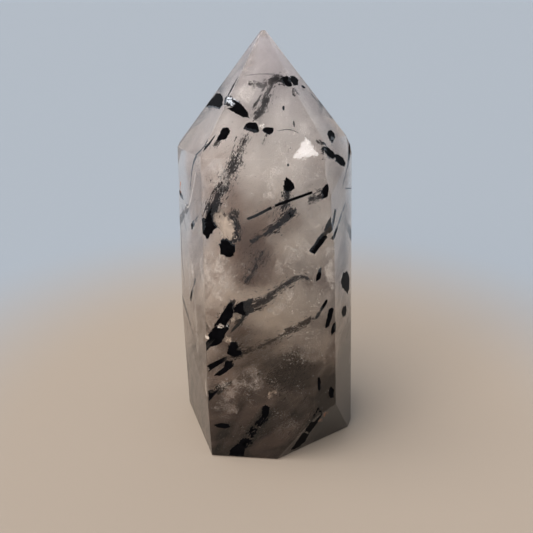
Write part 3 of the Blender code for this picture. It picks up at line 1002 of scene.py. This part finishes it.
        ((-1.86, -0.68), (-0.3, 0.3), (1.19, 1.18), (1.29, 0.94), (0.76, 0.12), (-1.42, -1.59)),
    ),
    "bar_lower": Needle(
        ((-7.5, -10.5, 18.1), (-6.7, -9.6, 18.8), (-5.6, -8.4, 19.5)), (1.0, 0.8), ((0, 0.3),), 0.3,
        ((0.1, 1, 40, 0.6, 0.5, 1.2, 0.2),),
        ((-1.69, -1.33), (-0.8, -0.5), (0.09, 0.32), (0.22, 1.39), (1.54, 1.69), (1.42, 0.4), (0.6, -0.4),
         (-0.25, -1.11), (-1.39, -1.41)),
    ),
    "side_right_long": Needle(
        ((9.0, -10.85, 30.8), (8.1, -10.6, 29.2), (7.2, -10.3, 27.6)), (0.5, 0.4), ((0, 0.5), (0.55, 0.95)), 0.2,
        ((0.2, 1, 40, 0.3, 0.3, 1, 0.12),),
    ),
    "side_right_upper": Needle(
        ((9.6, -10.6, 28.0), (9.3, -9.8, 27.2), (9.0, -8.9, 25.8)), (0.9, 0.5), ((0, 0.4),), 0.3,
        ((0.3, 1, 40, 0.3, 0.3, 1.2, 0.12),),
        ((-0.13, 1.37), (0.38, 1.63), (0.75, 1.22), (0.45, -0.33), (-0.03, -1.67), (-0.56, -1.75),
         (-0.59, -0.85), (-0.27, 0.34)),
    ),
    "side_right_middle": Needle(
        ((10.5, -10.3, 25.9), (10.3, -9.5, 25.1), (10.0, -8.5, 24.0)), (0.8, 0.5), ((0, 0.4),), 0.3,
        ((0.3, 1, 40, 0.4, 0.4, 1.2, 0.12),),
        ((-0.11, 0.87), (0.42, 0.95), (0.6, 0.37), (0.3, -0.66), (-0.22, -1.1), (-0.59, -0.67), (-0.44, 0.21)),
    ),
    "side_right_outer": Needle(
        ((12.8, -4.7, 25.9), (12.2, -4.4, 25.4), (11.4, -4.0, 24.6)), (0.8, 0.5), ((0, 0.5),), 0.3,
        ((0.3, 1, 30, 0.3, 0.3, 1, 0.12),),
        ((-0.9, 1.23), (1.0, 0.61), (1.6, -0.51), (1.0, -1.32), (-0.91, -0.65), (-1.9, 0.59)),
    ),
    "side_left": Needle(
        ((-13.4, -2.1, 27.4), (-12.0, -3.2, 30.2), (-10.4, -4.1, 33.0)), (0.7, 0.4), ((0, 0.4), (0.5, 0.8)), 0.4,
        ((0.1, 1, 70, 0.4, 0.5, 1.4, 0.12),),
    ),
    "side_left_spot": Needle(
        ((-12.3, -4.2, 41.0), (-10.7, -4.5, 42.1), (-8.9, -4.6, 43.3)), (0.9, 0.5), ((0, 0.4),), 0.5,
        ((0.1, 1, 60, 0.6, 0.6, 0.8, 0.12),),
    ),
    "corner_left_spot": Needle(
        ((-15.0, 2.8, 44.4), (-13.3, 2.5, 43.6), (-11.6, 2.1, 42.7)), (0.8, 0.5), ((0, 0.5),), 0.4,
        ((0.2, 1, 40, 0.4, 0.5, 0.8, 0.12),), material="blue_black",
    ),
    # The foot of the front
    "wedge_left": Needle(
        ((-9.9, -10.3, 13.0), (-8.3, -8.9, 13.6), (-6.4, -6.8, 14.1)), (1.4, 1.2), ((0, 0.2), (0.3, 0.6)), 0.4,
        ((0.1, 1, 160, 0.9, 0.9, 1.3, 0.2),),
        ((-0.4, 0.6), (-0.35, -0.2), (1.7, 1.1), (0.6, -0.1), (-0.3, -1.5)),
    ),
    "bar_low_left": Needle(
        ((-8.0, -10.6, 6.5), (-6.9, -8.9, 6.0), (-5.7, -7.0, 5.5)), (1.1, 0.8), ((0, 0.4),), 0.4,
        ((0.1, 1, 50, 0.6, 0.6, 1, 0.16),),
        ((-1.55, 0.1), (-0.48, 0.55), (1.09, 0.45), (1.25, -0.13), (0.54, -0.5), (-0.86, -0.4)),
    ),
    "low_oval": [Needle(
        ((-0.6, -11.2, 10.1), (-0.9, -10.7, 9.2), (-1.3, -10.0, 8.2)), (1.6, 1.4), ((0, 0.4),), 0.4,
        ((0.1, 1, 30, 0.8, 1, 1.4, 0.36),),
        ((-0.61, -0.1), (-0.44, 0.94), (0.07, 1.38), (0.75, 0.81), (0.59, -0.43), (0.08, -1.51), (-0.44, -1.13)),
    ), Needle(
        ((-0.8, -10.5, 8.9), (-1.8, -10.3, 6.9), (-3.3, -10.1, 4.4), (-4.7, -10.0, 2.0)), (2.0, 2.6),
        ((0, 0.34), (0.3, 0.68), (0.62, 1)), 0.4,
        ((0, 1, 130, 1.7, 2.1, 2, 0.5), (0, 1, 110, 2.4, 2.6, 1, 0.16)),
    )],
    "low_corner": Needle(
        ((-5.3, -10.9, 1.6), (-4.9, -10.0, 2.0), (-4.4, -9.0, 2.5)), (2.0, 1.5), ((0, 0.5),), 0.4,
        ((0.05, 1, 60, 1.4, 1.3, 1.9, 0.45),),
        ((-1.7, -1.4), (-1.4, 0.01), (-0.14, 1.2), (0.77, 2.57), (1.64, 1.98), (1.09, 0.19), (0.9, -1.4),
         (-0.5, -1.5)),
    ),
    "low_right": [Needle(
        ((7.8, -11.2, 7.8), (7.4, -10.6, 8.0), (6.8, -9.8, 8.3)), (1.4, 1.0), ((0, 0.5),), 0.4, (),
        ((0.12, 3.6), (1.2, 1.81), (0.8, -1.26), (0.06, -3.6), (-1.5, -1.76), (-0.9, 0.98)),
    ), Needle(
        ((5.7, -10.3, 3.0), (5.4, -9.7, 3.4), (5.0, -9.0, 3.9)), (1.4, 1.0), ((0, 0.5),), 0.4, (),
        ((1.35, 1.18), (1.2, -1.22), (0.25, -2.2), (-1.6, -2.3), (-0.88, 1.38), (-0.4, 3.1)),
    ), Needle(
        ((8.6, -11.1, 10.4), (7.2, -11.0, 7.7), (5.4, -10.5, 4.3), (3.9, -10.4, 1.6)), (1.4, 2.2),
        fray=((0, 1, 110, 1.6, 2.2, 1.8, 0.42), (0, 1, 80, 2.2, 2.8, 0.9, 0.16)),
    )],
    "foot_right": Needle(
        ((8.3, -11.4, 15.9), (8.4, -10.9, 15.0), (8.4, -10.3, 13.8)), (0.9, 0.7), ((0, 0.4),), 0.3,
        ((0.2, 1, 40, 0.5, 0.5, 1.2, 0.18),),
        ((-0.3, 0.01), (-0.24, 1.16), (0.03, 1.29), (0.33, 0.25), (0.28, -1.31), (-0.09, -1.42)),
    ),
    "foot_right_outer": Needle(
        ((10.5, -10.7, 13.5), (10.4, -10.2, 12.9), (10.3, -9.6, 12.0)), (1.1, 0.9), ((0, 0.4),), 0.4,
        ((0.1, 1, 50, 0.6, 0.7, 1.3, 0.2),),
        ((-0.44, 0.64), (-0.09, 1.35), (0.5, 0.41), (0.45, -0.98), (-0.01, -1.07), (-0.41, -0.37)),
    ),
    # The back
    "back_upper": Needle(
        ((4.5, 11.2, 47.0), (2.2, 8.8, 44.2), (0.0, 6.0, 41.0)), (1.5, 1.0), ((0, 0.45), (0.52, 0.8)),
        fray=((0.2, 1, 200, 0.8, 0.7, 1.5, 0.2),),
    ),
    "back_middle": Needle(
        ((-3.0, 11.2, 33.0), (-0.4, 9.0, 30.2), (2.5, 6.5, 27.0)), (1.2, 0.8), ((0, 0.35), (0.42, 0.7)),
        fray=((0.2, 1, 200, 0.7, 0.6, 1.5, 0.2),),
    ),
    "back_lower": Needle(
        ((5.0, 11.4, 20.0), (2.0, 9.4, 17.2), (-1.0, 7.0, 14.0)), (1.7, 1.1), ((0, 0.45), (0.5, 0.85)),
        fray=((0.2, 1, 200, 0.9, 0.8, 1.5, 0.22),),
    ),
    "back_foot": Needle(
        ((-6.0, 11.8, 10.0), (-4.0, 9.8, 12.4), (-2.0, 7.5, 15.0)), (1.1, 0.7), ((0, 0.5),),
        fray=((0.2, 1, 140, 0.6, 0.6, 1.3, 0.18),),
    ),
    "back_left_upper": Needle(
        ((-11.8, 8.6, 38.0), (-9.9, 6.2, 40.4), (-8.0, 3.5, 43.0)), (1.3, 0.8), ((0, 0.4), (0.47, 0.8)),
        fray=((0.2, 1, 160, 0.7, 0.6, 1.4, 0.2),),
    ),
    "back_left_lower": Needle(
        ((-12.4, 8.7, 22.0), (-10.4, 7.0, 19.6), (-8.5, 5.0, 17.0)), (1.0, 0.7), ((0, 0.6),),
        fray=((0.2, 1, 120, 0.6, 0.6, 1.3, 0.18),),
    ),
    "back_right_upper": Needle(
        ((10.6, 5.6, 36.0), (8.1, 4.2, 38.8), (5.5, 2.5, 42.0)), (1.4, 0.9), ((0, 0.4), (0.47, 0.8)),
        fray=((0.2, 1, 160, 0.7, 0.7, 1.5, 0.2),),
    ),
    "back_right_lower": Needle(
        ((11.6, 5.0, 18.0), (9.4, 3.6, 20.8), (7.0, 2.0, 24.0)), (1.1, 0.8), ((0, 0.5),),
        fray=((0.2, 1, 140, 0.6, 0.6, 1.4, 0.18),),
    ),
    "crown_back": Needle(
        ((-2.0, 7.4, 56.5), (-2.3, 6.1, 54.0), (-2.5, 4.5, 51.0)), (1.2, 0.8), ((0, 0.5),),
        fray=((0.2, 1, 120, 0.6, 0.6, 1.3, 0.18),),
    ),
    "crown_back_right": Needle(
        ((5.8, 4.9, 57.0), (4.5, 4.1, 54.6), (3.0, 3.0, 52.0)), (1.0, 0.7), ((0, 0.5),),
        fray=((0.2, 1, 100, 0.5, 0.5, 1.2, 0.16),),
    ),
}

# Streaks of broken crystal and stains that lie wholly inside the quartz
STREAKS = {
    "streak_brow": [Needle(
        ((-0.4, -2.6, 62.5), (-0.9, -2.9, 61.5), (-1.4, -3.3, 60.5), (-2.2, -3.8, 59.3)), (0.3, 0.3),
        fray=((0, 1, 45, 0.25, 0.3, 1.6, 0.2),),
    ), Needle(
        ((0.5, -2.9, 62.3), (-0.4, -3.4, 60.4), (-1.1, -4.1, 58.9), (-2.1, -4.9, 57.7)), (0.7, 0.7),
        fray=((0, 1, 90, 0.9, 0.9, 1.7, 0.28), (0, 1, 120, 1.3, 1.3, 0.8, 0.13)),
    ), Needle(
        ((-2.9, -3.0, 62.6), (-1.9, -2.9, 62.5), (-1.0, -2.9, 62.3)), (0.7, 0.7),
        fray=((0, 1, 70, 0.8, 0.9, 1, 0.2),),
    ), Needle(
        ((3.5, -4.2, 62.3), (3.5, -4.0, 61.4), (3.8, -3.6, 60.8)), (0.5, 0.5),
        fray=((0, 1, 12, 0.5, 0.4, 1, 0.2),),
    )],
    "cloud_middle": Needle(
        ((-0.9, -8.6, 38.8), (-1.6, -8.2, 37.0), (-2.6, -7.9, 35.0), (-3.8, -7.6, 33.0)), (1.5, 0.8),
        fray=((0, 1, 420, 3, 1.6, 0.6, 0.13),),
    ),
    "cloud_lower": Needle(
        ((5.3, -8.9, 20.0), (2.9, -8.4, 17.0), (0.4, -7.9, 14.0)), (2.0, 1.5),
        fray=((0, 1, 700, 4.2, 3.6, 1, 0.18),),
    ),
    "rust_edge": Needle(
        ((7.0, -10.9, 39.9), (7.5, -10.8, 40.9), (8.1, -10.6, 41.9)), (0.5, 0.5),
        fray=((0, 1, 40, 0.45, 0.3, 0.5, 0.3),), material="rust",
    ),
    "rust_left": Needle(
        ((-14.7, 2.6, 44.4), (-14.8, 2.8, 45.4), (-14.7, 2.6, 46.4)), (0.5, 0.5),
        fray=((0, 1, 44, 0.4, 0.4, 0.6, 0.34),), material="rust",
    ),
    "rust_low": Needle(
        ((9.7, -10.4, 9.4), (9.3, -10.2, 8.2), (8.9, -10.0, 7.0)), (0.5, 0.5),
        fray=((0, 1, 60, 0.6, 0.7, 0.8, 0.5),), material="rust",
    ),
    "rust_foot": Needle(
        ((5.5, -9.9, 2.4), (5.9, -9.9, 2.9), (6.2, -9.9, 3.4)), (0.5, 0.5),
        fray=((0, 1, 24, 0.3, 0.3, 0.4, 0.25),), material="rust",
    ),
    "beige_block": Needle(
        ((-6.9, -10.1, 42.8), (-6.7, -9.3, 43.2), (-6.5, -8.6, 43.6)), (3.0, 2.6), ((0.28, 1),), 0.12, (),
        ((-1.69, 1.74), (-1.0, 2.15), (-0.11, 1.87), (0.77, 0.88), (1.5, -0.36), (1.62, -1.8), (0.85, -2.31),
         (0.09, -1.85), (-0.48, -0.75), (-1.51, 0.33)),
        material="beige",
    ),
}

VEILS = {
    "veil_left": Veil((-7.6, -7.8, 34.0), -100.0, 5.0, 20.0, 5.5, 9.0, 0.8, 700, 0.22),
    "veil_block": Veil((-6.7, -9.6, 42.2), -96.0, 4.0, 40.0, 3.2, 4.8, 0.2, 10, 0.9, "beige"),
    "veil_great": Veil((-7.5, -9.6, 26.3), -95.0, 3.0, -30.0, 1.7, 1.9, 0.1, 24, 1.4),
    "veil_great_side": Veil((-5.3, -9.9, 27.7), -95.0, 3.0, -20.0, 1.3, 1.8, 0.1, 24, 1.4, "beige"),
    "veil_great_right": Veil((-6.7, -10.0, 23.5), -95.0, 3.0, -40.0, 1.5, 1.1, 0.1, 18, 1.4, "beige"),
    # The glint_ sheets are white flakes standing for glints on crystals and cracks: painted highlights
    "glint_great": Veil((-10.0, -9.7, 23.6), -100.0, 3.0, 0.0, 0.7, 1.0, 0.1, 7, 1.3),
    "glint_brow": Veil((-1.2, -7.5, 57.5), -95.0, 33.0, 0.0, 0.9, 0.6, 0.1, 6, 1.1),
    "glint_side": Veil((-12.0, -4.3, 40.8), -158.0, 1.0, 0.0, 1.2, 0.9, 0.1, 7, 1.1),
    "veil_middle": Veil((2.0, -8.0, 30.4), -95.0, 8.0, 60.0, 7.0, 3.0, 0.6, 420, 0.2),
    "veil_right": Veil((3.8, -8.2, 38.0), -90.0, 5.0, 50.0, 8.0, 4.0, 1.0, 420, 0.18),
    "veil_top": Veil((0.6, -8.6, 50.6), -95.0, 20.0, 80.0, 8.0, 3.0, 0.8, 320, 0.18),
    "veil_top_left": Veil((-7.0, -8.4, 49.6), -110.0, 5.0, 20.0, 3.6, 8.0, 0.7, 520, 0.22),
    "veil_crown": Veil((-3.4, -4.2, 61.5), -95.0, 30.0, 60.0, 4.5, 2.4, 0.4, 300, 0.22),
    "veil_crown_right": Veil((3.0, -2.4, 64.4), -40.0, 30.0, 0.0, 2.4, 2.0, 0.2, 150, 0.24),
    "veil_bevel": Veil((9.6, -9.6, 36.4), -70.0, 2.0, 5.0, 2.2, 8.0, 0.3, 420, 0.22),
    "veil_low_left": Veil((-6.4, -9.0, 13.6), -95.0, 0.0, 50.0, 6.0, 4.4, 0.8, 520, 0.22),
    "veil_low_middle": Veil((-2.6, -9.0, 15.6), -95.0, 0.0, 30.0, 4.0, 5.0, 0.8, 320, 0.2),
    "veil_low_flake": Veil((0.6, -9.8, 13.2), -95.0, 0.0, -20.0, 1.2, 2.6, 0.2, 8, 1.0, "beige"),
    "veil_low_right": Veil((2.8, -9.4, 5.6), -95.0, 0.0, 40.0, 6.0, 4.0, 0.8, 360, 0.2),
    "veil_foot": Veil((-7.2, -9.2, 9.6), -100.0, 0.0, 60.0, 5.0, 4.0, 0.6, 360, 0.22),
    "veil_side_left": Veil((-12.6, -3.4, 32.8), -158.0, 1.0, 10.0, 1.6, 2.8, 0.2, 110, 0.26),
    "veil_side_left_low": Veil((-11.8, -4.0, 22.0), -158.0, 1.0, 4.0, 2.0, 12.0, 0.3, 300, 0.2),
    # These glint_ sheets are flakes standing for glints as well: painted highlights
    "glint_shoulder": Veil((-5.3, -5.2, 60.5), -95.0, 33.0, -30.0, 3.6, 1.1, 0.0, 9, 1.0, "glassy"),
    "glint_cheek": Veil((8.9, -5.1, 54.7), -30.0, 38.0, 0.0, 0.8, 0.6, 0.1, 5, 0.9),
    "glint_hip": Veil((11.8, -5.6, 32.9), -25.0, 5.0, 0.0, 1.8, 1.4, 0.2, 70, 0.26),
    "glint_bar": Veil((-5.6, -9.6, 20.9), -95.0, 0.0, -30.0, 0.9, 1.6, 0.1, 80, 0.26),
    "glint_edge": Veil((-10.6, -9.2, 13.4), -130.0, 0.0, 8.0, 0.8, 3.6, 0.1, 120, 0.26),
    "veil_back": Veil((0.0, 7.6, 36.0), 88.0, 0.0, 30.0, 9.0, 14.0, 1.5, 700, 0.22),
    "veil_back_low": Veil((3.0, 7.6, 14.0), 88.0, 0.0, -40.0, 9.0, 8.0, 1.2, 500, 0.22),
    "veil_back_left": Veil((-9.0, 5.6, 30.0), 152.0, 0.0, 20.0, 5.0, 12.0, 1.0, 500, 0.22),
    "veil_back_right": Veil((9.4, 3.2, 28.0), 31.0, 0.0, -20.0, 5.0, 14.0, 1.0, 500, 0.22),
}

# Hairs and dots of crystal and the pale edge of a fine crack, each with its width
THREADS = {
    "hair_tip": (((-3.7, -1.9, 63.6), (-1.3, -2.2, 63.9), (1.9, -2.5, 63.9)), 0.13),
    "hair_crown_left": (((-7.8, -7.3, 56.1), (-9.3, -7.6, 54.1), (-11.2, -5.4, 51.3), (-12.1, -3.1, 46.7)), 0.5),
    "hair_shoulder": (((-6.6, -4.3, 61.0), (-5.4, -3.5, 62.6), (-4.3, -2.6, 63.8)), 0.4),
    "hair_left": (((-14.9, 3.4, 40.0), (-14.9, 3.3, 35.6), (-14.9, 3.2, 31.4), (-14.6, 2.5, 27.9)), 0.3),
    "hair_left_upper": (((-14.3, 2.2, 42.5), (-13.9, 1.2, 40.6), (-13.3, 0.3, 38.7)), 0.24),
    "hair_left_low": (((-12.9, -2.2, 10.8), (-12.3, -3.7, 9.3)), 0.4),
    "hair_right": (((11.6, -3.4, 47.0), (13.4, 1.2, 45.7)), 0.26),
    "hair_right_edge": (((6.0, -0.4, 61.1), (7.3, -0.3, 59.6)), 0.34),
    "hair_low": (((5.8, -11.2, 12.2), (6.4, -11.2, 13.5)), 0.16),
    "hair_brow": (((1.2, -8.4, 57.1), (3.0, -7.9, 57.0), (4.2, -7.6, 56.4)), 0.14),
    "dot_crown": (((2.1, -6.0, 60.1), (2.1, -6.4, 59.5)), 0.5),
    "dot_crown_low": (((3.5, -7.3, 58.2), (3.6, -7.8, 57.4)), 0.3),
    "dot_front": (((2.7, -10.5, 52.8), (2.7, -10.5, 52.4)), 0.36),
    "dot_crown_right": (((4.8, -1.9, 62.3), (5.5, -0.9, 62.0)), 0.7),
    "crack_left": (((-10.4, -6.8, 51.2), (-11.4, -4.6, 47.2), (-12.6, -1.6, 43.4), (-13.8, 1.4, 43.6)), 0.2),
}
SPECK_COUNT = 32000

quartz = finish_piece(stone_object("quartz_point"), "quartz", "quartz")
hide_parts("quartz")
for number, (name, needle) in enumerate(NEEDLES.items()):
    piece = build_needle("needle_" + name, needle, 100 + number)
    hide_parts("tourmaline_" + name)
for number, (name, streak) in enumerate(STREAKS.items()):
    build_needle(name, streak, 300 + number)
for number, (name, veil) in enumerate(VEILS.items()):
    build_veil(name, veil, 500 + number)
build_specks("mist", "veil", "quartz", SPECK_COUNT, True, 11)
build_specks("smoky_dust", "smoke", "tourmaline", SPECK_COUNT, False, 12)
for name, (points, width) in THREADS.items():
    pale = name == "crack_left"
    build_thread(name, points, width, "veil" if pale else "blue_black", "quartz" if pale else "tourmaline")


# Stage, light and camera
FLOOR_RADIUS = 20.0
FLOOR_DEPTH = 0.0002
SENSOR_WIDTH = 36.0
FOCAL_PIXELS = 600.0
PHOTO_PIXELS = 533.0
CAMERA_PLACE = (-0.0004, -0.09455, 0.07416)
CAMERA_DIRECTION = Vector((0.0, 0.91355, -0.40674))

# Small far lamps between three directions, whose images in the little crown facet make its
# bright three-cornered glint
GLINT_CORNERS = (
    Vector((0.3263, -0.5765, 0.7491)), Vector((0.3151, -0.5981, 0.7369)), Vector((0.3437, -0.5874, 0.7327)),
)
GLINT_ROWS = 5
GLINT_WIDTH = 0.46
GLINT_STRENGTH = 0.00048


def make_stage():
    bpy.ops.mesh.primitive_circle_add(vertices=128, radius=FLOOR_RADIUS, fill_type="NGON")
    floor = bpy.context.object
    floor.name = "floor"
    floor.location.z = -FLOOR_DEPTH
    material, tree, base = node_material("pale_floor")
    place = tree.nodes.new("ShaderNodeNewGeometry").outputs["Position"]
    distance = vector_calculated(tree, "LENGTH", place)
    share = mapped(tree, distance, 0.045, 0.11, 0.0, 1.0, interpolation_type="SMOOTHSTEP")
    colours = colour_ramp(tree, share, ((0.0, (0.405, 0.333, 0.268)), (1.0, (0.355, 0.39, 0.43))))
    set_inputs(tree, base, {"Base Color": colours, "Roughness": 0.9, "Specular IOR Level": 0.1})
    floor.data.materials.append(material)


def make_world():
    world = bpy.data.worlds.new("studio")
    world.use_nodes = True
    background = world.node_tree.nodes["Background"]
    set_inputs(world.node_tree, background, {"Color": (0.46, 0.51, 0.58, 1.0), "Strength": 1.0})
    bpy.context.scene.world = world


def soft_sun(name, towards, spread, strength, colour):
    """A far light, so that the floor is equally bright everywhere."""
    data = bpy.data.lights.new(name, "SUN")
    data.angle = math.radians(spread)
    data.energy = strength
    data.color = colour
    lamp = bpy.data.objects.new(name, data)
    bpy.context.scene.collection.objects.link(lamp)
    lamp.rotation_euler = (-Vector(towards)).to_track_quat("-Z", "Y").to_euler()


def make_glint():
    top, left, right = GLINT_CORNERS
    for row in range(GLINT_ROWS):
        down = row / (GLINT_ROWS - 1)
        for step in range(row + 1):
            aside = step / row if row else 0.5
            towards = top.lerp(left, down).lerp(top.lerp(right, down), aside)
            soft_sun(f"glint_{row}_{step}", towards, GLINT_WIDTH, GLINT_STRENGTH, (1.0, 0.95, 0.93))


def make_camera():
    data = bpy.data.cameras.new("camera")
    data.sensor_width = SENSOR_WIDTH
    data.lens = SENSOR_WIDTH * FOCAL_PIXELS / PHOTO_PIXELS
    data.clip_start = 0.005
    camera = bpy.data.objects.new("camera", data)
    bpy.context.scene.collection.objects.link(camera)
    camera.location = CAMERA_PLACE
    camera.rotation_euler = CAMERA_DIRECTION.to_track_quat("-Z", "Y").to_euler()
    bpy.context.scene.camera = camera


make_stage()
make_world()
soft_sun("key", (-0.42, -0.10, 0.9), 40.0, 1.8, (1.0, 0.96, 0.92))
soft_sun("fill", (-0.55, -0.70, 0.45), 50.0, 2.0, (1.0, 0.92, 0.83))
make_glint()
make_camera()

scene = bpy.context.scene
scene.view_settings.view_transform = "Standard"
scene.cycles.volume_bounces = 6
scene.cycles.volume_step_rate = 0.4
scene.cycles.max_bounces = 16
scene.cycles.transmission_bounces = 12
scene.cycles.transparent_max_bounces = 24
